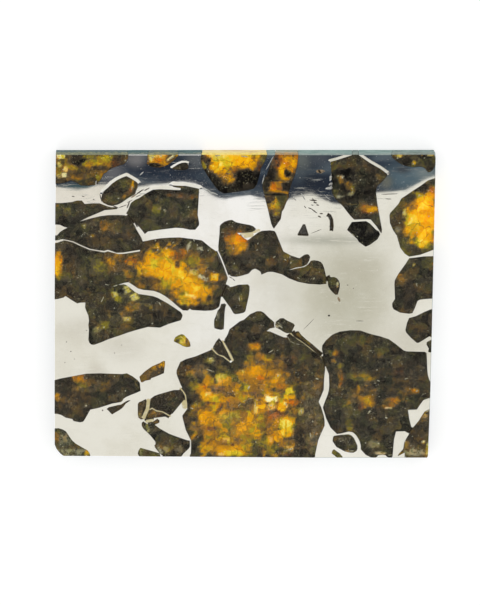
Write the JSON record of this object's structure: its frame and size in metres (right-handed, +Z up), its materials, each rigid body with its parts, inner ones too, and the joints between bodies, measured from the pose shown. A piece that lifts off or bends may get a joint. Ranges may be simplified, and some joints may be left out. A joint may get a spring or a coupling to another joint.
{
  "type": "pallasite meteorite slice",
  "caption": "Thin rectangular polished slice of a stony-iron meteorite: amber and dark olivine crystals set in bright nickel-iron metal.",
  "frame": {"origin": "middle of the underside, on the surface the slice rests on", "axes": "+X along the slice's long side to the picture's right, +Y to the picture's top, +Z up out of the polished face"},
  "size_m": [0.048, 0.0392, 0.003],
  "materials": {
    "nickel_iron": "polished, with fine scratches",
    "olivine_amber": "polished, see-through amber",
    "olivine_green": "polished, see-through olive green",
    "olivine_brown": "polished, see-through brown",
    "olivine_dark": "polished, nearly black",
    "troilite": "dull, nearly black"
  },
  "bodies": {
    "root": {"nickel_iron_matrix": "nickel_iron", "crystal_top_left": "olivine_brown", "crystal_pentagon": "olivine_dark", "crystal_left_band": "olivine_dark", "crystal_grey_green": "olivine_green", "crystal_long_amber": "olivine_amber", "crystal_green_triangle": "olivine_green", "crystal_centre_amber": "olivine_amber", "crystal_drop": "olivine_dark", "crystal_small_wedge": "olivine_dark", "crystal_small_post": "olivine_dark", "crystal_yellow_seed": "olivine_green", "crystal_lower_left": "olivine_brown", "crystal_splinter": "olivine_brown", "crystal_thin_sliver": "olivine_dark", "crystal_bottom_left": "olivine_green", "crystal_cracked_left": "olivine_brown", "crystal_cracked_main": "olivine_brown", "crystal_cracked_wedge": "olivine_brown", "crystal_lower_lobe": "olivine_dark", "crystal_bottom_sliver": "olivine_green", "crystal_great_amber": "olivine_amber", "crystal_wedge_top": "olivine_dark", "crystal_small_square": "olivine_dark", "crystal_shard": "olivine_dark", "crystal_great_dark": "olivine_dark", "crystal_lower_right": "olivine_green", "crystal_oval": "olivine_dark", "crystal_small_bottom": "olivine_dark", "crystal_right_amber": "olivine_amber", "crystal_right_middle": "olivine_brown", "crystal_right_small": "olivine_dark", "crystal_right_chip": "olivine_dark", "crystal_top_small_amber": "olivine_amber", "crystal_tiny_drop": "olivine_dark", "crystal_top_amber": "olivine_amber", "crystal_amber_spike": "olivine_brown", "crystal_tall": "olivine_dark", "crystal_dark_hexagon": "olivine_dark", "crystal_top_right": "olivine_brown", "inclusion_triangle": "troilite", "inclusion_drop": "troilite", "inclusion_dot": "troilite"}
  },
  "joints": []
}
